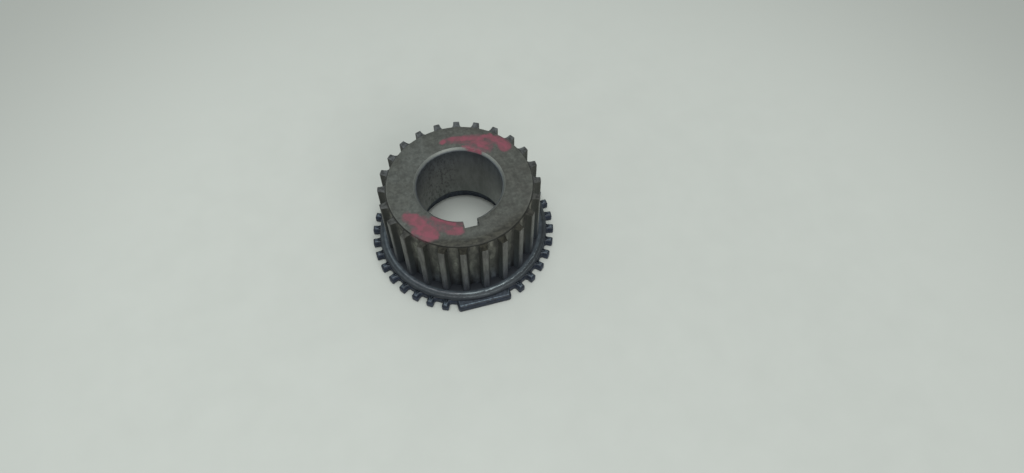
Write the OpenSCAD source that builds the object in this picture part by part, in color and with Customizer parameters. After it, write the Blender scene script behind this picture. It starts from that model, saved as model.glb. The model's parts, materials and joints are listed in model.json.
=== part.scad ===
// Crankshaft timing belt pulley: a toothed body, a belt guide flange and a signal rotor.
// Millimetres. The bore axis is Z. Z = 0 is the rear face of the rotor, the key slot points to -Y.

/* [Belt teeth] */
// Number of teeth for the belt
belt_teeth = 24; // [22:1:24]
// Distance from tooth to tooth along the belt's pitch line
belt_pitch = 8; // [7.8:0.1:8.1]
// How far the belt's pitch line runs outside the tooth tips
pitch_line_offset = 0.686; // [0.6:0.002:0.8]
// Width of a groove at the tooth tips
groove_w = 5.4; // [4.9:0.05:5.5]
// Depth of a groove below the tooth tips
groove_depth = 2.75; // [2.6:0.05:2.95]
// Radius of a groove's bulging side walls
wall_r = 5.3; // [4.8:0.1:6]
// Rounding along the edges of a tooth tip
tip_round = 0.4; // [0.2:0.05:0.6]
// Rounding where a side wall meets the groove floor
floor_round = 0.8; // [0.5:0.05:1]
// Length of the teeth along the axis
face_w = 26.8; // [20:0.1:40]
// Bevel on the outer end of the teeth
tooth_end_bevel = 0.15; // [0.1:0.05:0.6]

/* [Hub] */
// Bore diameter, for the crankshaft nose
bore_d = 31.6; // [28:0.1:33]
// Bevel round the front mouth of the bore
bore_bevel = 1; // [0.3:0.1:1.5]
// Bevel round the rear mouth of the bore
bore_rear_bevel = 0.6; // [0.2:0.1:0.8]
// Width of the key slot
key_w = 5.2; // [4:0.1:6]
// Depth of the key slot, from the bore's wall
key_depth = 3.3; // [2:0.1:3.5]
// How far the front face stands out beyond the teeth
hub_step = 0.5; // [0.3:0.1:2]
// Bevel round the front face
hub_bevel = 0.3; // [0.1:0.05:0.3]

/* [Guide flange] */
// Thickness of the guide flange
flange_t = 2; // [1.5:0.1:3]
// How far the flange stands out beyond the tooth tips
flange_lip = 3; // [2.6:0.1:3.3]
// Width of the bevel on the flange's belt side
flange_bevel_w = 1.9; // [0.5:0.1:2.2]
// Drop of that bevel at the flange's edge
flange_bevel_h = 0.5; // [0.2:0.1:1]
// Radial play between the crankshaft nose and the flange
flange_play = 1.7; // [0.5:0.1:2]

/* [Signal rotor] */
// Thickness of the signal rotor
rotor_t = 3.2; // [2.5:0.1:5]
// Tooth positions round the rotor, counting those the long tooth covers
rotor_positions = 36; // [30:2:36]
// Tip radius of the rotor teeth
rotor_tip_r = 35.8; // [35.5:0.1:37]
// Radius of the rotor between its teeth
rotor_root_r = 33; // [33:0.1:33.5]
// Width of a rotor tooth
rotor_tooth_w = 2.6; // [2:0.1:3]
// Rounding of a rotor tooth's corners
rotor_corner = 0.45; // [0.2:0.05:0.7]
// Rounding at the foot of a rotor tooth
rotor_foot_round = 0.8; // [0.4:0.05:0.9]
// Width of the long tooth over the key slot
long_tooth_w = 20.5; // [16:0.1:20.6]
// Distance from the axis to the long tooth's flat outer edge
long_tooth_flat = 34.7; // [34.4:0.1:35.5]
// Rounding of the long tooth's corners
long_tooth_corner = 1; // [0.3:0.1:1.2]
// Radial play between the crankshaft nose and the rotor
rotor_play = 1.7; // [0.5:0.1:2]

/* [Staked posts] */
// Number of posts that hold the flange and the rotor to the body
post_count = 4; // [3:1:6]
// Diameter of a post
post_d = 5; // [4:0.5:5]
// Diameter of a post's spread head
post_head_d = 6.6; // [6:0.1:7]
// Depth of the cone under a spread head
post_head_h = 1.2; // [0.8:0.1:1.5]
// How far a head stops short of the rotor's rear face
post_recess = 0.2; // [0.1:0.1:0.5]
// Gap round a post in its holes
post_gap = 0.05; // [0.05:0.01:0.1]

/* [Hidden] */

boss_setback = 0.2;
plate_key_play = 0.1;
covered_positions = 4;

ROUND = 180;
ARC_STEPS = 3;
CUT = 1;

key_angle = -90;
bore_r = bore_d / 2;
key_reach = bore_r + key_depth;
tip_r = belt_teeth * belt_pitch / (2 * PI) - pitch_line_offset;
root_r = tip_r - groove_depth;
boss_r = root_r - boss_setback;
tooth_angle = 360 / belt_teeth;
first_groove = key_angle - tooth_angle / 4;

flange_r = tip_r + flange_lip;
flange_z = rotor_t;
body_z = flange_z + flange_t;
teeth_top = body_z + face_w;
front_z = teeth_top + hub_step;

rotor_pitch = 360 / rotor_positions;
rotor_teeth = rotor_positions - covered_positions;
first_rotor_tooth = key_angle + (covered_positions + 1) / 2 * rotor_pitch;

post_circle_r = (bore_r + root_r) / 2;

function polar(r, a) = [r * cos(a), r * sin(a)];
function heading(v) = atan2(v.y, v.x);
function turned(p, a) = [p.x * cos(a) - p.y * sin(a), p.x * sin(a) + p.y * cos(a)];
function arc(c, r, a0, a1, n = ARC_STEPS) = [for (i = [0:n]) c + polar(r, a0 + (a1 - a0) * i / n)];
function reversed(pts) = [for (i = [len(pts) - 1:-1:0]) pts[i]];

// A half outline to the right of the Y axis, followed by its mirror image
function both_halves(right) = concat(right, [for (p = reversed(right)) [-p.x, p.y]]);

// A shape drawn about the Y axis, turned to point along the angle a
function pointed(pts, a) = [for (p = pts) turned(p, a - 90)];

// The right-hand point at distance r from c and at distance axis_r from the pulley's axis
function meet(c, r, axis_r) =
    let (
        d = norm(c),
        u = c / d,
        along = (d * d + axis_r * axis_r - r * r) / (2 * d),
        off = sqrt(axis_r * axis_r - along * along)
    )
    u * along + off * [u.y, -u.x];

// Right half of one groove, from the tooth tip to the groove floor, as tangent arcs
function groove_half() =
    let (
        wall_c = [groove_w / 2 - wall_r, tip_r],
        tip_c = meet(wall_c, wall_r + tip_round, tip_r - tip_round),
        floor_c = meet(wall_c, wall_r - floor_round, root_r + floor_round)
    )
    concat(
        arc(tip_c, tip_round, heading(tip_c), heading(wall_c - tip_c)),
        arc(wall_c, wall_r, heading(tip_c - wall_c), heading(floor_c - wall_c)),
        arc(floor_c, floor_round, heading(floor_c - wall_c), heading(-floor_c))
    );

// Outline of the toothed section: every groove, then the middle of the land beyond it
function belt_outline() = [
    for (i = [0:belt_teeth - 1])
        let (a = first_groove + i * tooth_angle)
        each concat(
            pointed(both_halves(groove_half()), a),
            [polar(tip_r, a + tooth_angle / 2)]
        )
];

// Right half of a rotor tooth with parallel sides, from the rotor's edge to its flat tip
function lobe_half(w, tip, corner) =
    let (
        foot_x = w / 2 + rotor_foot_round,
        foot_reach = rotor_root_r + rotor_foot_round,
        foot_c = [foot_x, sqrt(foot_reach * foot_reach - foot_x * foot_x)],
        corner_c = [w / 2 - corner, tip - corner]
    )
    concat(
        arc(foot_c, rotor_foot_round, heading(foot_c) + 180, 180),
        arc(corner_c, corner, 0, 90)
    );

// How far to either side of its middle a rotor tooth's foot reaches, as an angle
function foot_angle(w) = asin((w / 2 + rotor_foot_round) / (rotor_root_r + rotor_foot_round));

// The rotor's edge between two teeth, without its end points
function rotor_gap(a0, a1) = [for (i = [1:2]) polar(rotor_root_r, a0 + (a1 - a0) * i / 3)];

// Outline of the signal rotor: the long tooth over the key slot, then the single teeth
function rotor_outline() =
    let (
        small = foot_angle(rotor_tooth_w),
        long = foot_angle(long_tooth_w),
        last_rotor_tooth = first_rotor_tooth + (rotor_teeth - 1) * rotor_pitch
    )
    concat(
        pointed(both_halves(lobe_half(long_tooth_w, long_tooth_flat, long_tooth_corner)), key_angle),
        rotor_gap(key_angle + long, first_rotor_tooth - small),
        [
            for (i = [0:rotor_teeth - 1])
                let (a = first_rotor_tooth + i * rotor_pitch)
                each concat(
                    pointed(both_halves(lobe_half(rotor_tooth_w, rotor_tip_r, rotor_corner)), a),
                    i < rotor_teeth - 1 ? rotor_gap(a + small, a + rotor_pitch - small) : []
                )
        ],
        rotor_gap(last_rotor_tooth + small, key_angle + 360 - long)
    );

// A slot from the axis towards the key, as wide and as deep as asked, between two heights
module key_slot(w, reach, z0, z1) {
    translate([-w / 2, -reach, z0 - CUT])
        cube([w, reach, z1 - z0 + 2 * CUT]);
}

module at_posts() {
    for (i = [0:post_count - 1])
        rotate([0, 0, key_angle + (i + 0.5) * 360 / post_count])
            translate([post_circle_r, 0, 0])
                children();
}

// A post and its spread conical head, from the head's flat end up to the height top_z
module post(gap, top_z) {
    translate([0, 0, post_recess]) {
        cylinder(h = top_z - post_recess, d = post_d + 2 * gap, $fn = ROUND);
        cylinder(h = post_head_h, d1 = post_head_d + 2 * gap, d2 = post_d + 2 * gap, $fn = ROUND);
    }
}

// The countersunk hole that a post fills
module post_hole(top_z) {
    post(post_gap, top_z);
    translate([0, 0, -CUT])
        cylinder(h = post_recess + CUT, d = post_head_d + 2 * post_gap, $fn = ROUND);
}

module toothed_section() {
    intersection() {
        translate([0, 0, body_z])
            linear_extrude(height = face_w)
                polygon(belt_outline());
        rotate_extrude($fn = ROUND)
            polygon([
                [0, body_z - CUT],
                [tip_r + CUT, body_z - CUT],
                [tip_r + CUT, teeth_top - tooth_end_bevel - CUT],
                [tip_r - tooth_end_bevel, teeth_top],
                [0, teeth_top]
            ]);
    }
}

module front_boss() {
    rotate_extrude($fn = ROUND)
        polygon([
            [0, body_z + CUT],
            [boss_r, body_z + CUT],
            [boss_r, front_z - hub_bevel],
            [boss_r - hub_bevel, front_z],
            [0, front_z]
        ]);
}

module bore_cut() {
    rotate_extrude($fn = ROUND)
        polygon([
            [0, body_z - CUT],
            [bore_r + bore_rear_bevel + CUT, body_z - CUT],
            [bore_r, body_z + bore_rear_bevel],
            [bore_r, front_z - bore_bevel],
            [bore_r + bore_bevel + CUT, front_z + CUT],
            [0, front_z + CUT]
        ]);
}

module toothed_body() {
    color([0.34, 0.35, 0.33])
        union() {
            difference() {
                union() {
                    toothed_section();
                    front_boss();
                }
                bore_cut();
                key_slot(key_w, key_reach, body_z, front_z);
            }
            at_posts()
                post(0, body_z + CUT);
        }
}

module guide_flange() {
    color([0.26, 0.27, 0.3])
        difference() {
            rotate_extrude($fn = ROUND)
                polygon([
                    [bore_r + flange_play, flange_z],
                    [flange_r, flange_z],
                    [flange_r, body_z - flange_bevel_h],
                    [flange_r - flange_bevel_w, body_z],
                    [bore_r + flange_play, body_z]
                ]);
            key_slot(key_w + 2 * plate_key_play, key_reach + plate_key_play, flange_z, body_z);
            at_posts()
                cylinder(h = body_z + CUT, d = post_d + 2 * post_gap, $fn = ROUND);
        }
}

module signal_rotor() {
    color([0.13, 0.15, 0.2])
        difference() {
            linear_extrude(height = rotor_t)
                polygon(rotor_outline());
            translate([0, 0, -CUT])
                cylinder(h = rotor_t + 2 * CUT, r = bore_r + rotor_play, $fn = ROUND);
            key_slot(key_w + 2 * plate_key_play, key_reach + plate_key_play, 0, rotor_t);
            at_posts()
                post_hole(rotor_t + CUT);
        }
}

toothed_body();
guide_flange();
signal_rotor();
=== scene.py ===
"""Timing belt pulley: a toothed body, a belt guide flange and a signal rotor, staked together.

Lengths are in millimetres and angles in degrees, unless a comment says otherwise, until a mesh is
made. The bore axis is Z and the key slot lies towards -Y."""

import json
import math

import bmesh
import bpy
import numpy as np
from mathutils import Matrix, Vector


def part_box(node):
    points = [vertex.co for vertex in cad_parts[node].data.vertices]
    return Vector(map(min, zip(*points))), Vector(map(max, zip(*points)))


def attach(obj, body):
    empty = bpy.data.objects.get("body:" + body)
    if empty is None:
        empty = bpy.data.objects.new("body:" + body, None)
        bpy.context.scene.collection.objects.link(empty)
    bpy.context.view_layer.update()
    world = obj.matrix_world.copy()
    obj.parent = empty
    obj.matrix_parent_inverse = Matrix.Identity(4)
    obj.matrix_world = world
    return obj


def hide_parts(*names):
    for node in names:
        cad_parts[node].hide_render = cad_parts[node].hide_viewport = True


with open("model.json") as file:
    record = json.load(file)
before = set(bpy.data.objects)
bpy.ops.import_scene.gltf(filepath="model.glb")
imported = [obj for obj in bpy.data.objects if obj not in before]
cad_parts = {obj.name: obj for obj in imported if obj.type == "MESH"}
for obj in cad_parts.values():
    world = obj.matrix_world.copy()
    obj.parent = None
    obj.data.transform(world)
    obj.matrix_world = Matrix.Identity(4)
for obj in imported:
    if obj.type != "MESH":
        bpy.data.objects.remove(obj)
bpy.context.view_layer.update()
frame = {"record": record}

MM = 0.001

# Heights of the stacked pieces and the flange's radius, from the frame
ROTOR_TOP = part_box("signal_rotor")[1].z / MM
BODY_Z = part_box("guide_flange")[1].z / MM
FRONT_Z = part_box("toothed_body")[1].z / MM
FLANGE_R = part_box("guide_flange")[1].x / MM
HUB_STEP = 0.5
TEETH_TOP = FRONT_Z - HUB_STEP

# Bore and key slot
KEY_ANGLE = -90
BORE_R = next(m for m in frame["record"]["mounts"] if m["name"] == "bore")["dims"]["r_mm"]
BORE_BEVEL = 1.0
BORE_REAR_BEVEL = 0.6
MOUTH_Z = FRONT_Z - BORE_BEVEL
KEY_HALF = 2.6
KEY_REACH = 19.1

# Belt teeth and front boss
BELT_TEETH = 24
BELT_PITCH = 8
PITCH_LINE = 0.686  # from the tooth tips out to the belt's pitch line
TOOTH_ANGLE = 360 / BELT_TEETH
FIRST_GROOVE = KEY_ANGLE - TOOTH_ANGLE / 4
TIP_R = BELT_PITCH * BELT_TEETH / (2 * math.pi) - PITCH_LINE
ROOT_R = TIP_R - 2.75
GROOVE_W = 5.4
WALL_R = 5.3
TIP_ROUND = 0.4
FLOOR_ROUND = 0.8
BOSS_R = ROOT_R - 0.2

# Plates
PLATE_KEY_PLAY = 0.1
PLATE_BORE_R = 17.5
FLANGE_CREST_R = FLANGE_R - 1.9
FLANGE_RIM_R = FLANGE_R - 0.7
ROTOR_ROOT_R = 33.0
ROTOR_TIP_R = 35.8
ROTOR_PITCH = 10
ROTOR_TEETH = 32
ROTOR_TOOTH_W = 2.6
ROTOR_CORNER = 0.45
ROTOR_FOOT = 0.8
ROTOR_EDGE_W = 1.05
ROTOR_EDGE_H = 0.9
LONG_TOOTH_W = 20.5
LONG_TOOTH_FLAT = 34.7
LONG_TOOTH_CORNER = 1.0

# Staked posts
POSTS = 4
POST_CIRCLE_R = (BORE_R + ROOT_R) / 2
POST_R = 2.5
POST_ROOT = 0.3
POST_HEAD_R = 3.3
POST_HEAD_TOP = 1.4
POST_END = 0.2
POST_GAP = 0.05
HOLE_R = POST_R + POST_GAP
HEAD_HOLE_R = POST_HEAD_R + POST_GAP

# Small edges, as the offsets of their points from a sharp corner
BEVEL_FOOT = ((-0.07, 0.0), (-0.02, 0.015), (0.07, 0.07))          # up from the mouth, outwards
BEVEL_LIP = ((0.12, -0.12, 0.0), (0.04, -0.03, 0.03), (0.0, 0.07, 0.1))  # down, outwards, slot wider
BOSS_EDGE = ((0.0, 0.3), (0.03, 0.21), (0.21, 0.03), (0.3, 0.0))   # down, inwards
BOSS_FOOT = ((0.06, 0.0), (0.015, 0.015), (0.0, 0.05))             # up from the teeth, outwards
TOOTH_EDGE = ((0.0, 0.12, 0.2), (0.03, 0.05, 0.1), (0.09, 0.01, 0.03), (0.18, 0.0, 0.0))  # down, sides, tip
TOOTH_FOOT = 0.07                                                  # least distance from the boss
CREST_EDGE = ((-0.2, 0.0), (-0.05, 0.012), (0.08, 0.045), (0.22, 0.1))              # outwards, down
RIM_EDGE = ((-0.15, 0.36), (0.0, 0.41), (0.15, 0.5), (0.4, 0.72), (0.6, 1.0), (0.7, 1.35))  # outwards, down
FLANGE_REAR_EDGE = ((0.25, 0.0), (0.08, 0.07), (0.0, 0.28))        # up from its rear, inwards
ROTOR_REAR_EDGE = ((0.18, 0.0), (0.08, 0.02), (0.02, 0.08), (0.0, 0.18))  # up, inwards
FLANGE_BORE_EDGE = 0.08
ROTOR_BORE_EDGE = 0.1
SHARP_ANGLE = 32


# ---------------------------------------------------------------- outlines

def polar(r, a):
    a = np.radians(a)
    return np.stack([r * np.cos(a), r * np.sin(a)], -1)


def heading(v):
    return math.degrees(math.atan2(v[1], v[0]))


def arc(c, r, a0, a1, n):
    """n + 1 points on an arc about c."""
    return np.array(c) + polar(r, np.linspace(a0, a1, n + 1))


def turned(points, a):
    c, s = math.cos(math.radians(a)), math.sin(math.radians(a))
    return points @ np.array([[c, s], [-s, c]])


def mirrored(right):
    """The mirror image, about the Y axis, of a half outline, in the order that carries it on."""
    return right[::-1] * [-1, 1]


def meet(c, r, axis_r):
    """The right-hand point at distance r from c and at distance axis_r from the axis."""
    c = np.array(c)
    d = np.hypot(*c)
    u = c / d
    along = (d * d + axis_r * axis_r - r * r) / (2 * d)
    off = math.sqrt(axis_r * axis_r - along * along)
    return u * along + off * np.array([u[1], -u[0]])


def groove_outline():
    """A belt groove about the Y axis, from one tooth tip to the next, as tangent arcs."""
    wall_c = np.array([GROOVE_W / 2 - WALL_R, TIP_R])
    tip_c = meet(wall_c, WALL_R + TIP_ROUND, TIP_R - TIP_ROUND)
    floor_c = meet(wall_c, WALL_R - FLOOR_ROUND, ROOT_R + FLOOR_ROUND)
    right = np.concatenate([
        arc(tip_c, TIP_ROUND, heading(tip_c), heading(wall_c - tip_c), 5),
        arc(wall_c, WALL_R, heading(tip_c - wall_c), heading(floor_c - wall_c), 9)[1:],
        arc(floor_c, FLOOR_ROUND, heading(floor_c - wall_c), heading(-floor_c), 5)[1:],
    ])
    return np.concatenate([right, [[0, ROOT_R]], mirrored(right)])


def belt_outline():
    """The toothed section's outline, anticlockwise."""
    groove = groove_outline()
    half_land = TOOTH_ANGLE / 2 - (90 - heading(groove[0]))
    land = TOOTH_ANGLE / 2 + half_land * np.array([-0.6, -0.2, 0.2, 0.6])
    parts = []
    for i in range(BELT_TEETH):
        a = FIRST_GROOVE + i * TOOTH_ANGLE
        parts.append(turned(groove, a - 90))
        parts.append(polar(TIP_R, a + land))
    return np.concatenate(parts)


def lobe(w, tip, corner, across, inset):
    """A rotor tooth about the Y axis, with parallel sides and across points on its flat tip."""
    foot_x = w / 2 + ROTOR_FOOT
    foot_reach = ROTOR_ROOT_R + ROTOR_FOOT
    foot_c = [foot_x, math.sqrt(foot_reach ** 2 - foot_x ** 2)]
    half, top, corner = w / 2 - inset, tip - inset, max(corner - inset, 0.05)
    right = np.concatenate([
        arc(foot_c, ROTOR_FOOT + inset, heading(foot_c) + 180, 180, 6),
        arc([half - corner, top - corner], corner, 0, 90, 5),
    ])
    flat = np.linspace(half - corner, corner - half, across + 2)[1:-1]
    flat = np.stack([flat, np.full_like(flat, top)], -1)
    return np.concatenate([right, flat, mirrored(right)])


def foot_angle(w):
    """Half the angle that a rotor tooth takes up at its foot."""
    return math.degrees(math.asin((w / 2 + ROTOR_FOOT) / (ROTOR_ROOT_R + ROTOR_FOOT)))


def rim(r, a0, a1, step=0.8):
    """Points on the rotor's edge between two teeth, without the ends."""
    n = max(2, round((a1 - a0) / step))
    return polar(r, np.linspace(a0, a1, n + 1)[1:-1])


def rotor_outline(inset=0.0):
    """The signal rotor's outline, anticlockwise, from the long tooth over the key slot."""
    small, long = foot_angle(ROTOR_TOOTH_W), foot_angle(LONG_TOOTH_W)
    first = KEY_ANGLE + 2.5 * ROTOR_PITCH
    last = first + (ROTOR_TEETH - 1) * ROTOR_PITCH
    root = ROTOR_ROOT_R - inset
    tooth = lobe(ROTOR_TOOTH_W, ROTOR_TIP_R, ROTOR_CORNER, 1, inset)
    long_tooth = lobe(LONG_TOOTH_W, LONG_TOOTH_FLAT, LONG_TOOTH_CORNER, 15, inset)
    parts = [turned(long_tooth, KEY_ANGLE - 90), rim(root, KEY_ANGLE + long, first - small)]
    for i in range(ROTOR_TEETH):
        a = first + i * ROTOR_PITCH
        parts.append(turned(tooth, a - 90))
        if i < ROTOR_TEETH - 1:
            parts.append(rim(root, a + small, a + ROTOR_PITCH - small))
    parts.append(rim(root, last + small, KEY_ANGLE + 360 - long))
    return np.concatenate(parts)


# ---------------------------------------------------------------- meshes

class Profile:
    """Makes matching rings of points: the outline, circles, and the bore with its key slot."""

    # The points within these bearings of the key slot's middle draw its floor and its walls
    SLOT_FLOOR = 5.5
    SLOT_WALL = 9.0

    def __init__(self, outline):
        along = np.roll(outline, -1, 0) - np.roll(outline, 1, 0)
        along /= np.hypot(along[:, 0], along[:, 1])[:, None]
        bearing = np.degrees(np.arctan2(outline[:, 1], outline[:, 0])) - KEY_ANGLE
        bearing = (bearing + 180) % 360 - 180
        self.start = np.argmin(np.abs(bearing))
        self.points = self.rolled(outline)
        self.normals = self.rolled(np.stack([along[:, 1], -along[:, 0]], -1))
        self.bearing = self.rolled(bearing)
        self.slot_bearing = self.bearing.copy()
        for corner in (-self.SLOT_WALL, -self.SLOT_FLOOR, self.SLOT_FLOOR, self.SLOT_WALL):
            self.slot_bearing[np.argmin(np.abs(self.bearing - corner))] = corner

    def rolled(self, values):
        """The values in the order that starts over the key slot."""
        return np.roll(values, -self.start, 0)

    def outline(self, z, inset=0.0, r_max=1e9, r_min=0.0):
        p = self.points - self.normals * inset
        r = np.hypot(p[:, 0], p[:, 1])
        return self.at(p * (np.clip(r, r_min, r_max) / r)[:, None], z)

    def circle(self, z, r):
        return self.at(polar(r, self.bearing + KEY_ANGLE), z)

    def bore(self, z, r, half, reach):
        """A bore of radius r with a key slot of that half width and reach."""
        u = self.slot_bearing
        size, side = np.abs(u), np.sign(u)
        corner = math.degrees(math.asin(half / r))
        spread = corner + (size - self.SLOT_WALL) * (180 - corner) / (180 - self.SLOT_WALL)
        p = polar(r, KEY_ANGLE + side * spread)
        mouth = math.sqrt(r * r - half * half)
        t = np.clip((size - self.SLOT_FLOOR) / (self.SLOT_WALL - self.SLOT_FLOOR), 0, 1)
        wall = np.stack([side * half, -(reach + (mouth - reach) * t)], -1)
        floor = np.stack([half * u / self.SLOT_FLOOR, np.full_like(u, -reach)], -1)
        p = np.where((size < self.SLOT_WALL)[:, None], wall, p)
        p = np.where((size <= self.SLOT_FLOOR)[:, None], floor, p)
        return self.at(p, z)

    def plate_bore(self, z0, z1, edge):
        """A plate's bore from its rear face to its front face, with both edges broken."""
        half, reach = KEY_HALF + PLATE_KEY_PLAY, KEY_REACH + PLATE_KEY_PLAY
        places = ((z0, edge), (z0 + edge, 0), (z1 - edge, 0), (z1, edge))
        return [self.bore(z, PLATE_BORE_R + grow, half + grow, reach + grow) for z, grow in places]

    @staticmethod
    def at(p, z):
        return np.column_stack([p, np.full(len(p), z)])


def between(a, b, shares):
    return [a + (b - a) * t for t in shares]


def new_object(name, data):
    obj = bpy.data.objects.new(name, data)
    bpy.context.scene.collection.objects.link(obj)
    return obj


def shade_smooth(mesh):
    """Shades the mesh smoothly, apart from its sharp edges."""
    mesh.shade_smooth()
    mesh.set_sharp_from_angle(angle=math.radians(SHARP_ANGLE))


def finish_mesh(bm, name):
    """Turns a bmesh in millimetres into an object in metres."""
    bmesh.ops.recalc_face_normals(bm, faces=bm.faces)
    bmesh.ops.scale(bm, vec=(MM, MM, MM), verts=bm.verts)
    mesh = bpy.data.meshes.new(name)
    bm.to_mesh(mesh)
    bm.free()
    shade_smooth(mesh)
    return new_object(name, mesh)


def ring_mesh(rings):
    """A closed solid from rings of equal length, the last one joined to the first."""
    bm = bmesh.new()
    rows = [[bm.verts.new(p) for p in ring] for ring in rings]
    for a, b in zip(rows, rows[1:] + rows[:1]):
        for i in range(len(a)):
            j = (i + 1) % len(a)
            bm.faces.new((a[i], a[j], b[j], b[i]))
    return bm


def add_lathe(bm, profile, centre, steps=64):
    """Adds a closed solid turned about a vertical axis; the profile runs from axis to axis."""
    first, last = (bm.verts.new((*centre, z)) for _, z in (profile[0], profile[-1]))
    rows = []
    for r, z in profile[1:-1]:
        ring = polar(r, np.arange(steps) * 360 / steps) + centre
        rows.append([bm.verts.new((x, y, z)) for x, y in ring])
    for i in range(steps):
        j = (i + 1) % steps
        bm.faces.new((first, rows[0][i], rows[0][j]))
        bm.faces.new((last, rows[-1][j], rows[-1][i]))
        for a, b in zip(rows, rows[1:]):
            bm.faces.new((a[i], b[i], b[j], a[j]))


# ---------------------------------------------------------------- pieces

def make_body():
    p = Profile(belt_outline())

    def bore(z, grow=0.0, slot_grow=0.0):
        return p.bore(z, BORE_R + grow, KEY_HALF + slot_grow, KEY_REACH + slot_grow)

    rings = [bore(BODY_Z, BORE_REAR_BEVEL)]
    rings += [bore(z) for z in np.linspace(BODY_Z + BORE_REAR_BEVEL, MOUTH_Z + BEVEL_FOOT[0][0], 7)[:-1]]
    rings += [bore(MOUTH_Z + up, out) for up, out in BEVEL_FOOT]
    rings += [bore(FRONT_Z - down, BORE_BEVEL + out, slot) for down, out, slot in BEVEL_LIP]
    boss = [p.circle(FRONT_Z - down, BOSS_R - inwards) for down, inwards in BOSS_EDGE]
    rings += between(rings[-1], boss[0], (0.25, 0.5, 0.75)) + boss
    rings += [p.circle(TEETH_TOP + up, BOSS_R + out) for up, out in BOSS_FOOT]
    rings += [p.outline(TEETH_TOP - down, inset, TIP_R - below_tip, BOSS_R + TOOTH_FOOT)
              for down, inset, below_tip in TOOTH_EDGE]
    rings += [p.outline(z) for z in np.linspace(TEETH_TOP - 1.5, BODY_Z, 9)]
    return finish_mesh(ring_mesh(rings), "belt_teeth_and_hub")


def make_flange():
    p = Profile(polar(FLANGE_R, np.arange(0, 360, 0.5) + 0.25))
    inner = p.plate_bore(ROTOR_TOP, BODY_Z, FLANGE_BORE_EDGE)
    outer = [p.circle(BODY_Z - down, FLANGE_CREST_R + out) for out, down in CREST_EDGE]
    outer += [p.circle(BODY_Z - down, FLANGE_RIM_R + out) for out, down in RIM_EDGE]
    outer += [p.circle(ROTOR_TOP + up, FLANGE_R - inwards) for up, inwards in FLANGE_REAR_EDGE]
    rings = inner + between(inner[-1], outer[0], (0.35, 0.7))
    rings += outer + between(outer[-1], inner[0], (0.5,))
    return finish_mesh(ring_mesh(rings), "belt_guide_flange")


def make_rotor():
    p = Profile(rotor_outline())

    def rounded(angle):
        """The outline on the edge's rounding, from 90 at the top face to 0 at the side."""
        a = math.radians(angle)
        inset = ROTOR_EDGE_W * (1 - math.cos(a))
        return p.at(p.rolled(rotor_outline(inset)), ROTOR_TOP - ROTOR_EDGE_H * (1 - math.sin(a)))

    inner = p.plate_bore(0.0, ROTOR_TOP, ROTOR_BORE_EDGE)
    shelf = ROTOR_ROOT_R - 1.2
    outer = [p.circle(ROTOR_TOP, shelf), p.at(p.rolled(rotor_outline(ROTOR_EDGE_W + 0.12)), ROTOR_TOP)]
    outer += [rounded(a) for a in (90, 80, 66, 50, 34, 17, 0)]
    outer += [p.outline(up, inwards) for up, inwards in ROTOR_REAR_EDGE]
    outer.append(p.circle(0.0, shelf))
    rings = inner + between(inner[-1], outer[0], (0.35, 0.7))
    rings += outer + between(outer[-1], inner[0], (0.3, 0.65))
    return finish_mesh(ring_mesh(rings), "signal_rotor_wheel")


def make_post(i, centre):
    """A staked post: its head is spread by a punch, which leaves a shallow ring in it."""
    punched = ((0, 0.02), (0.9, 0.02), (1.2, 0.1), (1.5, 0.28), (1.75, 0.3), (2.0, 0.1),
               (2.3, 0.0), (2.9, 0.0), (3.15, 0.03), (POST_HEAD_R - 0.05, 0.12))
    profile = [(r, POST_END + up) for r, up in punched]
    profile += [(POST_R, POST_HEAD_TOP), (POST_R, BODY_Z + POST_ROOT), (0, BODY_Z + POST_ROOT)]
    bm = bmesh.new()
    add_lathe(bm, profile, centre)
    return finish_mesh(bm, f"staked_post_{i + 1}")


def cut_holes(piece, profile, places):
    """Takes a solid turned from the profile out of the piece at each place."""
    bm = bmesh.new()
    for centre in places:
        add_lathe(bm, profile, centre)
    cutter = finish_mesh(bm, "cutter")
    boolean = piece.modifiers.new("holes", "BOOLEAN")
    boolean.operation = "DIFFERENCE"
    boolean.solver = "EXACT"
    boolean.object = cutter
    bpy.context.view_layer.update()
    evaluated = piece.evaluated_get(bpy.context.evaluated_depsgraph_get())
    mesh = bpy.data.meshes.new_from_object(evaluated)
    piece.modifiers.clear()
    piece.data = mesh
    shade_smooth(mesh)
    bpy.data.objects.remove(cutter)


# ---------------------------------------------------------------- node graphs

def srgb(r, g, b):
    """A colour given as 8-bit sRGB, in the linear values that shaders use."""
    def linear(v):
        v /= 255
        return v / 12.92 if v <= 0.04045 else ((v + 0.055) / 1.055) ** 2.4
    return (linear(r), linear(g), linear(b), 1.0)


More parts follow.
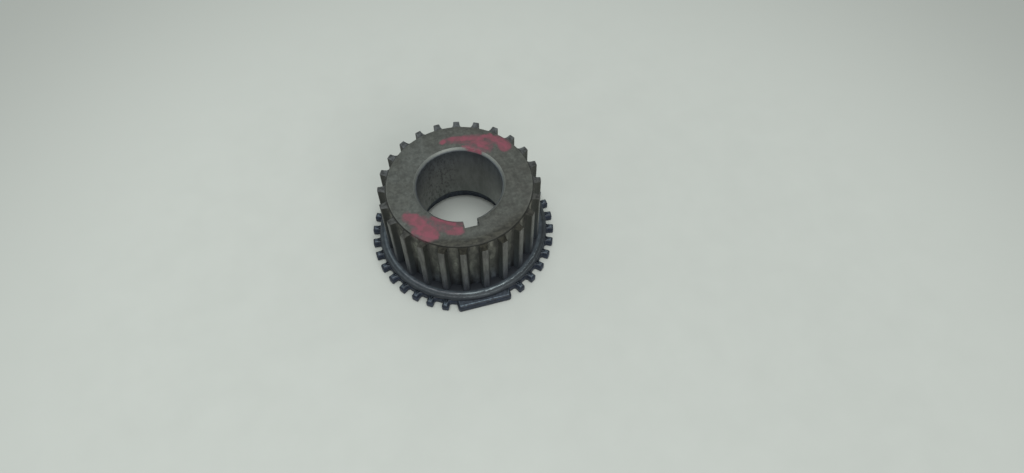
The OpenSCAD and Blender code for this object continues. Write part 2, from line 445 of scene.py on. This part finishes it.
class Graph:
    """Short calls for building a node material. Lengths are millimetres, and bearing is in radians."""

    def __init__(self, name):
        self.mat = bpy.data.materials.new(name)
        self.mat.use_nodes = True
        self.nodes, self.links = self.mat.node_tree.nodes, self.mat.node_tree.links
        self.nodes.clear()
        output = self.node("ShaderNodeOutputMaterial")
        self.bsdf = self.node("ShaderNodeBsdfPrincipled")
        self.links.new(self.bsdf.outputs["BSDF"], output.inputs["Surface"])
        coordinates = self.node("ShaderNodeTexCoord").outputs["Object"]
        self.pos = self.vec("MULTIPLY", coordinates, (1 / MM,) * 3)
        self.x, self.y, self.z = self.split(self.pos)
        self.nx, self.ny, self.nz = self.split(self.node("ShaderNodeNewGeometry").outputs["Normal"])
        self.r = self.math("SQRT", self.add(self.mul(self.x, self.x), self.mul(self.y, self.y)))
        self.bearing = self.math("ARCTAN2", self.y, self.x)
        self.flatness = self.math("ABSOLUTE", self.nz)

    def node(self, kind, **settings):
        n = self.nodes.new(kind)
        for k, v in settings.items():
            setattr(n, k, v)
        return n

    def feed(self, socket, value):
        if hasattr(value, "links"):
            self.links.new(value, socket)
        else:
            socket.default_value = value

    def math(self, operation, a, b=0.0, clamp=False):
        n = self.node("ShaderNodeMath", operation=operation, use_clamp=clamp)
        self.feed(n.inputs[0], a)
        self.feed(n.inputs[1], b)
        return n.outputs[0]

    def add(self, a, b):
        return self.math("ADD", a, b)

    def sub(self, a, b):
        return self.math("SUBTRACT", a, b)

    def div(self, a, b, clamp=False):
        return self.math("DIVIDE", a, b, clamp)

    def mul(self, a, b, *more):
        out = self.math("MULTIPLY", a, b)
        for m in more:
            out = self.math("MULTIPLY", out, m)
        return out

    def inv(self, a):
        return self.math("SUBTRACT", 1.0, a)

    def most(self, *values):
        out = values[0]
        for v in values[1:]:
            out = self.math("MAXIMUM", out, v)
        return out

    def swing(self, value, reach):
        """A value between 0 and 1 carried over to one between -reach / 2 and reach / 2."""
        return self.mul(self.sub(value, 0.5), reach)

    def vec(self, operation, a, b=(0, 0, 0)):
        n = self.node("ShaderNodeVectorMath", operation=operation)
        self.feed(n.inputs[0], a)
        self.feed(n.inputs[1], b)
        scalar = operation in ("DISTANCE", "DOT_PRODUCT")
        return n.outputs["Value" if scalar else "Vector"]

    def shade(self, colour, gain):
        """The colour, or any vector, times gain."""
        n = self.node("ShaderNodeVectorMath", operation="SCALE")
        self.feed(n.inputs[0], colour)
        self.feed(n.inputs["Scale"], gain)
        return n.outputs["Vector"]

    def split(self, v):
        n = self.node("ShaderNodeSeparateXYZ")
        self.feed(n.inputs[0], v)
        return n.outputs

    def join(self, x, y, z):
        n = self.node("ShaderNodeCombineXYZ")
        for socket, v in zip(n.inputs, (x, y, z)):
            self.feed(socket, v)
        return n.outputs[0]

    def step(self, value, lo, hi, out_lo=0.0, out_hi=1.0):
        """A smooth step of value from lo to hi; hi may be below lo."""
        n = self.node("ShaderNodeMapRange", interpolation_type="SMOOTHSTEP", clamp=True)
        if hi < lo:
            lo, hi, out_lo, out_hi = hi, lo, out_hi, out_lo
        self.feed(n.inputs["Value"], value)
        self.feed(n.inputs["From Min"], lo)
        self.feed(n.inputs["From Max"], hi)
        self.feed(n.inputs["To Min"], out_lo)
        self.feed(n.inputs["To Max"], out_hi)
        return n.outputs["Result"]

    def band(self, value, lo, hi, soft):
        """1 between lo and hi, fading to 0 over soft on each side."""
        return self.mul(self.step(value, lo - soft, lo + soft), self.step(value, hi + soft, hi - soft))

    def noise(self, size, detail=3.0, rough=0.55, at=None, seed=0, stretch=(1, 1, 1)):
        """Noise between 0 and 1, with features about size mm across."""
        n = self.node("ShaderNodeTexNoise", noise_dimensions="3D", normalize=True)
        place = self.pos if at is None else at
        place = self.vec("MULTIPLY", place, tuple(1 / (size * s) for s in stretch))
        place = self.vec("ADD", place, (seed * 7.31, seed * 3.77, seed * 5.13))
        self.feed(n.inputs["Vector"], place)
        self.feed(n.inputs["Scale"], 1.0)
        self.feed(n.inputs["Detail"], detail)
        self.feed(n.inputs["Roughness"], rough)
        return n.outputs["Fac"]

    def mix(self, share, a, b):
        """Colour a where share is 0, colour b where it is 1."""
        n = self.node("ShaderNodeMix", data_type="RGBA", blend_type="MIX")
        self.feed(n.inputs[0], share)
        self.feed(n.inputs[6], a)
        self.feed(n.inputs[7], b)
        return n.outputs[2]

    def level(self, share, a, b):
        """Number a where share is 0, number b where it is 1."""
        n = self.node("ShaderNodeMix", data_type="FLOAT")
        self.feed(n.inputs[0], share)
        self.feed(n.inputs[2], a)
        self.feed(n.inputs[3], b)
        return n.outputs[0]

    def ramp(self, value, lo, hi, stops):
        """Colours at shares of the way from lo to hi, blended in between."""
        n = self.node("ShaderNodeValToRGB")
        self.feed(n.inputs["Fac"], self.div(self.sub(value, lo), hi - lo, clamp=True))
        marks = n.color_ramp.elements
        while len(marks) < len(stops):
            marks.new(0.5)
        for mark, (place, colour) in zip(marks, stops):
            mark.position = place
            mark.color = colour
        return n.outputs["Color"]

    def around(self, angle, width):
        """1 on the side of the pulley at that bearing, fading to 0 width degrees away."""
        a = math.radians(angle)
        here = self.join(self.div(self.x, self.r), self.div(self.y, self.r), 0)
        facing = self.vec("DOT_PRODUCT", here, self.join(math.cos(a), math.sin(a), 0))
        return self.step(facing, math.cos(math.radians(width)), 1.0)

    def stroke(self, a, b, ra, rb):
        """How far a point lies outside a tapered stroke from a to b, seen along the axis."""
        ab = (b[0] - a[0], b[1] - a[1], 0)
        from_a = self.vec("SUBTRACT", self.join(self.x, self.y, 0.0), (a[0], a[1], 0))
        t = self.div(self.vec("DOT_PRODUCT", from_a, ab), ab[0] ** 2 + ab[1] ** 2, clamp=True)
        gap = self.vec("DISTANCE", from_a, self.shade(ab, t))
        return self.sub(gap, self.level(t, ra, rb))

    def bumps(self, *layers):
        """Bump from (height socket, depth in mm) layers."""
        normal = None
        for height, depth in layers:
            n = self.node("ShaderNodeBump")
            n.inputs["Strength"].default_value = 1.0
            n.inputs["Distance"].default_value = depth * MM
            self.feed(n.inputs["Height"], height)
            if normal is not None:
                self.links.new(normal, n.inputs["Normal"])
            normal = n.outputs["Normal"]
        return normal

    def finish(self, colour, roughness, metallic, normal, specular=0.5):
        self.feed(self.bsdf.inputs["Base Color"], colour)
        self.feed(self.bsdf.inputs["Roughness"], roughness)
        self.feed(self.bsdf.inputs["Metallic"], metallic)
        self.feed(self.bsdf.inputs["Specular IOR Level"], specular)
        self.feed(self.bsdf.inputs["Normal"], normal)
        return self.mat


# ---------------------------------------------------------------- body material

# Strokes of paint on the front face: from, to, and the brush's radius at each end
THICK_PAINT = (
    ((-2.0, 20.2), (-1.0, 20.5), 0.9, 0.9),
    ((1.2, 21.0), (6.8, 19.9), 0.9, 1.2),
    ((6.8, 19.9), (13.0, 18.2), 1.1, 1.2),
    ((13.5, 18.8), (16.4, 18.6), 1.0, 1.2),
    ((5.4, 16.4), (7.5, 15.0), 0.5, 0.8),
    ((7.2, 14.2), (10.6, 12.4), 0.8, 1.1),
    ((9.4, 17.6), (13.4, 15.8), 0.9, 1.3),
    ((11.4, 15.4), (13.6, 13.4), 0.9, 0.9),
    ((16.8, 17.2), (19.6, 15.4), 1.1, 1.5),
    ((19.8, 14.6), (20.6, 12.2), 1.8, 2.2),
    ((-22.0, -8.6), (-19.2, -10.4), 1.0, 2.2),
    ((-19.2, -10.6), (-17.4, -12.8), 2.2, 2.0),
    ((-20.4, -15.9), (-17.4, -16.6), 0.6, 2.0),
    ((-17.0, -14.0), (-15.2, -18.2), 2.2, 2.9),
    ((-15.6, -18.6), (-14.0, -19.0), 2.3, 2.1),
    ((-12.6, -12.3), (-9.5, -14.0), 0.7, 0.5),
    ((-9.5, -14.2), (-6.0, -16.4), 0.5, 0.9),
    ((-8.8, -19.5), (-4.8, -20.0), 0.8, 1.4),
    ((-6.2, -18.4), (-4.2, -19.0), 0.7, 1.0),
)
THIN_PAINT = (
    ((1.0, 20.6), (12.0, 18.4), 1.7, 2.2),
    ((9.0, 17.0), (13.5, 14.2), 3.0, 3.2),
    ((16.0, 17.5), (20.0, 15.0), 2.0, 2.4),
    ((20.0, 14.6), (20.6, 12.4), 2.4, 2.6),
    ((-21.0, -9.4), (-16.5, -13.5), 2.2, 3.2),
    ((-18.5, -16.0), (-14.5, -18.5), 2.8, 3.0),
    ((-13.5, -13.4), (-5.0, -17.4), 2.2, 2.2),
    ((-11.0, -16.5), (-5.0, -19.4), 1.8, 2.0),
)


def paint_masks(g):
    """Two brushed marks of paint on the front face: where it is thick, and where it is thin."""
    edge = g.add(g.swing(g.noise(2.4, 4, 0.6, seed=4), 1.8), g.swing(g.noise(0.7, 3, 0.6, seed=9), 1.2))

    def brushed(strokes):
        gap = g.stroke(*strokes[0])
        for stroke in strokes[1:]:
            gap = g.math("MINIMUM", gap, g.stroke(*stroke))
        return g.add(gap, edge)

    on_face = g.step(g.z, MOUTH_Z - 0.1, MOUTH_Z + 0.3)
    dry = g.step(g.noise(1.0, 4, 0.7, seed=13, stretch=(2.2, 0.8, 1)), 0.36, 0.58)
    thick = g.mul(g.step(brushed(THICK_PAINT), 0.45, -0.55), on_face)
    thin = g.mul(g.step(brushed(THIN_PAINT), 0.6, -0.6), g.level(dry, 0.62, 1.0), on_face)
    return thick, thin


def painted(g, colour, thick, thin):
    wash = g.mix(g.step(g.noise(1.5, 3, 0.6, seed=8), 0.35, 0.65), srgb(86, 64, 69), srgb(108, 64, 74))
    dab = g.mix(g.step(g.noise(2.6, 3, 0.6, seed=18), 0.38, 0.62), srgb(112, 63, 73), srgb(130, 64, 80))
    dab = g.shade(dab, g.step(g.y, -4, 8, 0.96, 0.94))
    colour = g.mix(g.mul(thin, 0.85), colour, wash)
    return g.mix(g.mul(thick, 0.92), colour, dab)


def face_colour(g, mottle, grain):
    """Front face: matt grey, lighter on its left as painted light, browned by oil along its front edge, with
    one nick.
    """
    # Painted light: the face is lighter on its left than on its right.
    face = g.mix(g.step(g.x, 12, -14), srgb(72, 73, 69), srgb(81, 84, 81))
    broad = g.noise(9, 2, 0.5, seed=1)
    face = g.mix(g.step(broad, 0.4, 0.65), face, srgb(75, 77, 73))
    edge = g.mul(g.around(-88, 62), g.sub(g.r, 21.8))
    oily = g.step(g.add(edge, g.mul(mottle, 3.0)), 1.9, 5.0)
    face = g.mix(g.mul(oily, 0.9), face, srgb(45, 44, 37))
    smear = g.noise(1.5, 3, 0.6, seed=71, stretch=(1.6, 0.8, 1))
    face = g.shade(face, g.level(oily, 1.0, g.step(smear, 0.35, 0.65, 0.6, 1.5)))
    face = g.shade(face, g.step(mottle, 0.3, 0.7, 0.78, 1.22))
    face = g.shade(face, g.step(g.noise(1.1, 3, 0.6, seed=17), 0.3, 0.7, 0.84, 1.16))
    face = g.shade(face, g.step(grain, 0.35, 0.65, 0.92, 1.08))
    nick = g.stroke((13.2, -20.6), (14.4, -21.4), 0.22, 0.16)
    return g.mix(g.step(nick, 0.25, -0.1, 0.0, 0.6), face, srgb(45, 45, 42))


def tooth_end_colour(g, oily):
    """Ends of the belt teeth: slate behind, dark with oil in front, with a painted shadow along the foot of
    the boss.
    """
    ends = g.mix(g.around(90, 120), srgb(62, 63, 62), srgb(77, 80, 82))
    ends = g.mix(oily, ends, srgb(42, 41, 35))
    ends = g.shade(ends, g.step(g.noise(1.3, 3, 0.6, seed=23), 0.32, 0.68, 0.5, 1.5))
    # Painted shadow where the tooth ends meet the boss.
    boss_foot_shadow = g.step(g.r, BOSS_R + 0.5, BOSS_R + 0.15)
    return g.mix(g.mul(boss_foot_shadow, 0.6), ends, srgb(36, 37, 35))


def from_land(g):
    """Distance round the pulley from the middle of the nearest land of the belt teeth."""
    first_land = math.radians(FIRST_GROOVE + TOOTH_ANGLE / 2)
    turns = g.div(g.sub(g.bearing, first_land), math.radians(TOOTH_ANGLE))
    off = g.math("ABSOLUTE", g.sub(g.math("FRACT", turns), 0.5))
    return g.mul(g.sub(0.5, off), math.radians(TOOTH_ANGLE) * TIP_R)


def teeth_colour(g):
    """Lands, flanks and floors of the belt teeth, darker and bluer towards the flange: partly oil, partly
    painted shade.
    """
    stripe = g.noise(1.0, 3, 0.6, seed=5, stretch=(1, 1, 6))
    stain = g.noise(2.2, 4, 0.65, seed=6, stretch=(1, 1, 1.6))
    cloud = g.noise(4.5, 2, 0.5, seed=61, stretch=(1, 1, 2.5))
    across = from_land(g)
    depth = g.sub(TIP_R, g.r)

    # Lands, floors and flanks grow darker and bluer towards the flange: partly oil, partly painted shade
    # from the flange.
    land = g.ramp(g.z, BODY_Z, TEETH_TOP, (
        (0.0, srgb(44, 47, 56)), (0.1, srgb(50, 53, 61)), (0.25, srgb(63, 66, 71)), (0.4, srgb(74, 76, 78)),
        (0.55, srgb(82, 84, 81)), (0.8, srgb(91, 91, 88)), (1.0, srgb(86, 86, 83)),
    ))
    land = g.shade(land, g.step(stripe, 0.32, 0.68, 0.66, 1.28))
    # Painted shade: each land is darker towards its edges.
    land = g.shade(land, g.step(across, 0.45, 1.25, 1.06, 0.7))

    floor = g.ramp(g.z, BODY_Z, TEETH_TOP, (
        (0.0, srgb(44, 49, 56)), (0.12, srgb(52, 56, 60)), (0.25, srgb(56, 59, 60)), (0.4, srgb(68, 70, 66)),
        (0.7, srgb(86, 87, 80)), (1.0, srgb(82, 81, 74)),
    ))
    # Painted light down the middle of each groove's floor, and painted shade towards its flanks.
    from_middle = g.sub(math.radians(TOOTH_ANGLE / 2) * TIP_R, across)
    ragged = g.add(from_middle, g.swing(stripe, 3.0))
    floor = g.mix(g.step(ragged, 2.0, 0.5), g.shade(floor, 0.36), g.shade(floor, 1.15))
    floor = g.shade(floor, g.step(stain, 0.35, 0.65, 0.6, 1.25))
    floor = g.shade(floor, g.step(cloud, 0.36, 0.64, 0.58, 1.68))

    flank = g.ramp(g.z, BODY_Z, TEETH_TOP, (
        (0.0, srgb(51, 56, 63)), (0.3, srgb(55, 60, 62)), (0.7, srgb(53, 55, 52)), (1.0, srgb(49, 50, 46)),
    ))
    # Painted light: flanks that face clockwise are made lighter.
    clockwise = g.div(g.sub(g.mul(g.nx, g.y), g.mul(g.ny, g.x)), g.r)
    flank = g.shade(flank, g.step(clockwise, 0.2, 0.7, 1.0, 1.45))
    flank = g.mix(g.step(depth, 1.9, 2.6), flank, floor)

    side = g.mix(g.step(depth, 0.02, 0.4), land, flank)
    side = g.shade(side, g.step(stain, 0.3, 0.7, 0.9, 1.1))
    # Painted shadow on the low side wall of the boss, just above the teeth.
    above_teeth = g.step(g.z, TEETH_TOP - 0.1, TEETH_TOP + 0.05)
    boss_side_shadow = g.mul(above_teeth, g.step(g.r, ROOT_R + 0.02, ROOT_R - 0.05))
    return g.mix(boss_side_shadow, side, srgb(40, 41, 38))


def bore_colour(g):
    """Bore: smooth and a little oily, with spots of old rust on its left rear, and painted light."""
    # Painted light: the wall is lighter towards the rear face, and darker and bluer towards the mouth.
    bore = g.ramp(g.z, BODY_Z, FRONT_Z, (
        (0.0, srgb(116, 120, 118)), (0.25, srgb(116, 118, 116)), (0.55, srgb(106, 108, 107)),
        (0.85, srgb(94, 98, 102)), (1.0, srgb(78, 84, 90)),
    ))
    streak = g.noise(2.0, 4, 0.6, seed=26, stretch=(1, 1, 3))
    bore = g.shade(bore, g.step(streak, 0.3, 0.7, 0.84, 1.16))
    # Painted light on the right side of the bore.
    bore = g.shade(bore, g.level(g.around(-4, 50), 1.0, 1.7))
    spots = g.step(g.noise(0.9, 3, 0.65, seed=7, stretch=(1, 1, 1.8)), 0.5, 0.66)
    return g.mix(g.mul(spots, g.around(125, 60), 0.75), bore, srgb(56, 59, 60))


def bevel_colour(g):
    """Bevel of the bore's mouth: worn bright, with a painted highlight on its right rear and painted shade
    on its left.
    """
    bright = g.mix(g.noise(1.6, 3, 0.6, seed=28), srgb(110, 113, 110), srgb(134, 138, 135))
    # Painted highlight on the right rear, and painted shade on the left.
    bright = g.shade(bright, g.level(g.around(35, 40), 1.08, 1.55))
    return g.shade(bright, g.level(g.around(180, 60), 1.0, 0.85))


def body_material():
    g = Graph("sintered_steel")
    mottle = g.noise(2.0, 4, 0.65, seed=2)
    grain = g.noise(0.35, 4, 0.7, seed=3)

    # Where each surface lies
    up = g.step(g.nz, 0.75, 0.95)
    below_mouth = g.step(g.z, MOUTH_Z + 0.1, MOUTH_Z - 0.1)
    above_mouth = g.inv(below_mouth)
    within_slot = g.step(g.r, KEY_REACH + 0.6, KEY_REACH + 0.3)
    in_bore = g.mul(within_slot, g.step(g.flatness, 0.9, 0.5), below_mouth)
    on_bevel = g.mul(above_mouth, g.step(g.r, BORE_R + 0.95, BORE_R + 0.85))
    lip_r = BORE_R + BORE_BEVEL
    within_lip = g.step(g.r, lip_r + 0.07, lip_r - 0.03)
    bevel = g.mul(g.step(g.r, BORE_R + 0.1, BORE_R + 0.55), within_lip, above_mouth)
    below_face = g.step(g.z, FRONT_Z - 0.15, FRONT_Z - 0.4)
    # Where the boss's rounded edge gets a painted highlight.
    boss_edge_highlight = g.mul(g.band(g.r, BOSS_R - 0.5, BOSS_R - 0.05, 0.12), g.inv(below_face))
    oily_ends = g.around(-88, 85)
    thick, thin = paint_masks(g)
    paint = g.most(thick, g.mul(thin, 0.7))

    top = g.mix(below_face, face_colour(g, mottle, grain), tooth_end_colour(g, oily_ends))
    # Painted highlight on the boss's rounded edge.
    top = g.shade(top, g.level(boss_edge_highlight, 1.0, 1.22))
    colour = g.mix(up, teeth_colour(g), top)
    colour = g.mix(g.most(in_bore, on_bevel), colour, bore_colour(g))
    colour = g.mix(bevel, colour, bevel_colour(g))
    colour = painted(g, colour, thick, thin)

    rough = g.level(up, 0.52, 0.6)
    rough = g.level(in_bore, rough, 0.42)
    rough = g.level(bevel, rough, 0.48)
    rough = g.add(rough, g.swing(grain, 0.25))
    rough = g.level(paint, rough, 0.6)
    metal = g.level(bevel, 0.3, 0.7)
    metal = g.level(in_bore, metal, 0.6)
    metal = g.mul(metal, g.inv(paint))
    specular = g.level(g.mul(oily_ends, below_face, up), 0.5, 0.15)
    return g.finish(colour, rough, metal, g.bumps((grain, 0.03), (mottle, 0.05)), specular)


# ---------------------------------------------------------------- plate materials

def flange_rubbing_and_glints(g, patch, along):
    """Rubbing of the belt, patchy along the crest and along the rim, with painted highlights and glints
    brightest in front.
    """
    fine = g.noise(0.3, 3, 0.6, at=along, seed=34)
    # Painted highlight: the worn lines are made brightest in front.
    front = g.most(g.around(-94, 34), g.mul(g.around(-120, 75), 0.6))
    crest = g.band(g.r, FLANGE_CREST_R - 0.36, FLANGE_CREST_R + 0.1, 0.22)
    # A painted glint on the crest in front.
    glint_patch = g.mul(crest, g.around(-100, 5), 0.8)
    crest_wear_and_sheen = g.mul(crest, g.level(front, 0.0, 0.7), g.step(patch, 0.38, 0.62, 0.15, 1.3))
    rim_line = g.band(g.r, FLANGE_RIM_R - 0.22, FLANGE_RIM_R + 0.15, 0.18)
    rim_line = g.mul(rim_line, g.level(front, 0.06, 0.1), g.step(fine, 0.38, 0.62, 0.0, 1.8))
    # Painted glints along both lines.
    dashes = g.step(g.noise(0.5, 2, 0.5, at=along, seed=36), 0.56, 0.66)
    on_crest = g.band(g.r, FLANGE_CREST_R - 0.3, FLANGE_CREST_R + 0.35, 0.2)
    on_rim = g.mul(g.band(g.r, FLANGE_RIM_R - 0.2, FLANGE_RIM_R + 0.2, 0.15), 0.35)
    glint = g.mul(dashes, g.around(-76, 52), g.most(on_crest, on_rim), 1.1)
    return g.math("MINIMUM", g.most(crest_wear_and_sheen, glint_patch, rim_line, glint), 1.0)


def flange_material():
    """Dark pressed steel with worn lines along its crest and its rim, and painted light and shade."""
    g = Graph("flange_steel")
    mottle = g.noise(2.0, 4, 0.6, seed=31)
    grain = g.noise(0.4, 4, 0.7, seed=32)
    along = g.join(g.mul(g.r, 3.0), g.mul(g.bearing, 10.0), g.mul(g.z, 2.0))
    patch = g.noise(1.0, 3, 0.65, at=along, seed=33)

    base = g.mix(g.step(mottle, 0.3, 0.7), srgb(48, 56, 64), srgb(70, 78, 85))
    # Darker inside the teeth's tips: partly dirt, partly painted shade at the foot of the grooves.
    base = g.mix(g.step(g.r, TIP_R + 0.5, TIP_R - 0.4), base, srgb(34, 38, 45))
    # Painted shade on the rim, which slopes down past the crest.
    base = g.shade(base, g.step(g.r, FLANGE_CREST_R - 0.05, FLANGE_CREST_R + 0.45, 1.1, 0.52))
    raised = g.step(g.r, FLANGE_CREST_R - 0.7, FLANGE_CREST_R - 0.1)
    # Painted shade on the right of the crest and rim, and painted light on the left.
    base = g.shade(base, g.level(g.mul(raised, g.around(-5, 80)), 1.0, 0.72))
    base = g.shade(base, g.level(g.mul(raised, g.around(190, 60)), 1.0, 1.5))
    base = g.mix(g.step(g.r, FLANGE_RIM_R + 0.1, FLANGE_R - 0.05), base, srgb(46, 51, 58))

    wear_and_sheen = flange_rubbing_and_glints(g, patch, along)
    bright = g.mix(g.around(-128, 30), srgb(158, 168, 172), srgb(150, 146, 150))
    colour = g.mix(wear_and_sheen, base, bright)
    rough = g.add(g.level(wear_and_sheen, 0.52, 0.42), g.swing(grain, 0.25))
    metal = g.level(wear_and_sheen, 0.3, 0.7)
    return g.finish(colour, rough, metal, g.bumps((grain, 0.02), (mottle, 0.04), (patch, 0.02)))


def rotor_material():
    """Blue-black oxide, bluest on the rim's sides; a worn line with a painted highlight on the rounded upper
    edge.
    """
    g = Graph("rotor_steel")
    mottle = g.noise(1.4, 4, 0.65, seed=41)
    speck = g.noise(0.55, 3, 0.6, seed=44)
    grain = g.noise(0.3, 4, 0.7, seed=42)
    uneven = g.step(mottle, 0.35, 0.65)
    upright = g.step(g.flatness, 0.8, 0.5)

    base = g.mix(uneven, srgb(42, 49, 60), srgb(64, 72, 84))
    side = g.mix(uneven, srgb(36, 48, 70), srgb(56, 70, 98))
    at_rim = g.step(g.r, ROTOR_ROOT_R - 1.0, ROTOR_ROOT_R - 0.5)
    base = g.mix(g.mul(upright, at_rim), base, side)
    # Painted shade on faces that are not flat.
    base = g.shade(base, g.step(g.flatness, 0.86, 0.995, 0.5, 1.0))
    in_bore = g.mul(upright, g.step(g.r, PLATE_BORE_R + 0.3, PLATE_BORE_R + 0.15))
    # Painted light on the wall of the bore.
    base = g.shade(base, g.level(in_bore, 1.0, 4.0))
    # Painted shadow on the top of the long tooth.
    long_tooth = g.mul(g.around(KEY_ANGLE, 20), g.step(g.r, ROTOR_ROOT_R - 0.4, ROTOR_ROOT_R + 0.2))
    base = g.shade(base, g.level(g.step(long_tooth, 0.0, 0.2), 1.0, 0.8))
    # Painted shade near the flange, inside the teeth's roots.
    base = g.shade(base, g.step(g.r, ROTOR_ROOT_R - 0.6, ROTOR_ROOT_R + 0.5, 0.7, 1.0))

    near_top = g.step(g.z, ROTOR_TOP - 0.4, ROTOR_TOP - 0.2)
    # The worn line where the top face turns into the rounded edge, also painted bright as a highlight.
    crest = g.mul(g.step(g.nz, 0.9995, 0.997), g.step(g.nz, 0.93, 0.98), near_top)
    crest = g.mul(crest, g.step(speck, 0.38, 0.62, 0.0, 0.52))
    on_teeth = g.step(g.r, ROTOR_ROOT_R, ROTOR_ROOT_R + 0.8)
    chips = g.mul(g.step(speck, 0.62, 0.72), g.step(g.nz, -0.2, 0.1), on_teeth)
    wear_and_sheen = g.most(crest, g.mul(chips, 0.5))
    colour = g.mix(wear_and_sheen, base, srgb(112, 128, 140))
    rough = g.add(g.level(wear_and_sheen, 0.48, 0.38), g.swing(grain, 0.25))
    metal = g.level(wear_and_sheen, 0.35, 0.7)
    return g.finish(colour, rough, metal, g.bumps((grain, 0.02), (mottle, 0.04)))


# ---------------------------------------------------------------- assembly

post_places = [polar(POST_CIRCLE_R, KEY_ANGLE + (i + 0.5) * 360 / POSTS) for i in range(POSTS)]
body = make_body()
flange = make_flange()
rotor = make_rotor()
posts = [make_post(i, centre) for i, centre in enumerate(post_places)]

# Each hole runs past both faces of its plate
cut_holes(flange, [
    (0, ROTOR_TOP - 1), (HOLE_R, ROTOR_TOP - 1), (HOLE_R, BODY_Z + 1), (0, BODY_Z + 1),
], post_places)
cut_holes(rotor, [
    (0, -1), (HEAD_HOLE_R, -1), (HEAD_HOLE_R, POST_END),
    (HOLE_R, POST_HEAD_TOP), (HOLE_R, ROTOR_TOP + 1), (0, ROTOR_TOP + 1),
], post_places)

sintered_steel = body_material()
for piece, node, slot, material in (
    (body, "toothed_body", "sintered_steel", sintered_steel),
    (flange, "guide_flange", "flange_steel", flange_material()),
    (rotor, "signal_rotor", "rotor_steel", rotor_material()),
    *((post, "toothed_body", "sintered_steel", sintered_steel) for post in posts),
):
    piece.data.materials.clear()
    piece.data.materials.append(material)
    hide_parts(node)
    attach(piece, "root")


# ---------------------------------------------------------------- stage

FLOOR_HALF = 3000
FLOOR_GAP = 0.02
CAMERA_LENS = 25.945
CAMERA_AZIMUTH = -16.4
CAMERA_ELEVATION = 58.386
CAMERA_ROLL = 0.656
CAMERA_RIGHT, CAMERA_UP, CAMERA_BACK = 19.377, -2.222, 296.475


def floor_material():
    """A pale table top, lit evenly near the pulley, with painted shade far away and faint painted light on
    the left.
    """
    g = Graph("table_top")
    speck = g.noise(12, 2, 0.5, seed=51)
    fine = g.noise(1.2, 3, 0.6, seed=52)
    colour = g.mix(speck, srgb(190, 193, 189), srgb(196, 199, 195))
    # Painted light: a little lighter on the left than on the right.
    colour = g.shade(colour, g.step(g.x, -150, 150, 1.04, 0.96))
    # Painted shade far from the pulley.
    away = g.add(g.vec("DISTANCE", g.pos, (8, -60, 0)), g.swing(speck, 30))
    colour = g.shade(colour, g.step(away, 150, 340, 1.0, 0.72))
    rough = g.add(0.6, g.mul(fine, 0.1))
    return g.finish(colour, rough, 0.0, g.bumps((fine, 0.02)), specular=0.25)


def make_floor():
    bm = bmesh.new()
    bmesh.ops.create_grid(bm, x_segments=1, y_segments=1, size=FLOOR_HALF)
    floor = finish_mesh(bm, "floor")
    floor.location.z = -FLOOR_GAP * MM
    floor.data.materials.append(floor_material())


def area_light(name, place, size, power, colour):
    """A round light, placed in metres and aimed at the pulley's middle."""
    light = bpy.data.lights.new(name, "AREA")
    light.shape = "DISK"
    light.size = size
    light.energy = power
    light.color = colour
    obj = new_object(name, light)
    obj.location = place
    obj.rotation_mode = "QUATERNION"
    obj.rotation_quaternion = (Vector((0, 0, 0.015)) - Vector(place)).to_track_quat("-Z", "Y")


def make_camera():
    """The camera, placed along its own axes from the middle of the rear face."""
    data = bpy.data.cameras.new("camera")
    data.sensor_width = 36
    data.lens = CAMERA_LENS
    data.clip_start = 0.01
    camera = new_object("camera", data)
    azimuth, elevation = math.radians(CAMERA_AZIMUTH), math.radians(CAMERA_ELEVATION)
    roll = math.radians(CAMERA_ROLL)
    away = Vector((math.sin(azimuth), -math.cos(azimuth), 0))
    back = away * math.cos(elevation) + Vector((0, 0, math.sin(elevation)))
    level = Vector((math.cos(azimuth), math.sin(azimuth), 0))
    right = level * math.cos(roll) + back.cross(level) * math.sin(roll)
    up = back.cross(right)
    place = (right * CAMERA_RIGHT + up * CAMERA_UP + back * CAMERA_BACK) * MM
    camera.matrix_world = Matrix.Translation(place) @ Matrix((right, up, back)).transposed().to_4x4()
    bpy.context.scene.camera = camera


def make_world():
    world = bpy.data.worlds.new("studio")
    world.use_nodes = True
    background = world.node_tree.nodes["Background"]
    background.inputs["Color"].default_value = (0.95, 1.0, 0.97, 1)
    background.inputs["Strength"].default_value = 0.43
    bpy.context.scene.world = world


make_floor()
area_light("softbox_front", (0.25, -1.1, 0.75), 0.9, 4.9, (1.0, 0.99, 0.97))
area_light("softbox_top", (0, -0.05, 1.4), 1.0, 10.8, (0.96, 1.0, 0.98))
make_camera()
make_world()
bpy.context.scene.view_settings.view_transform = "Standard"
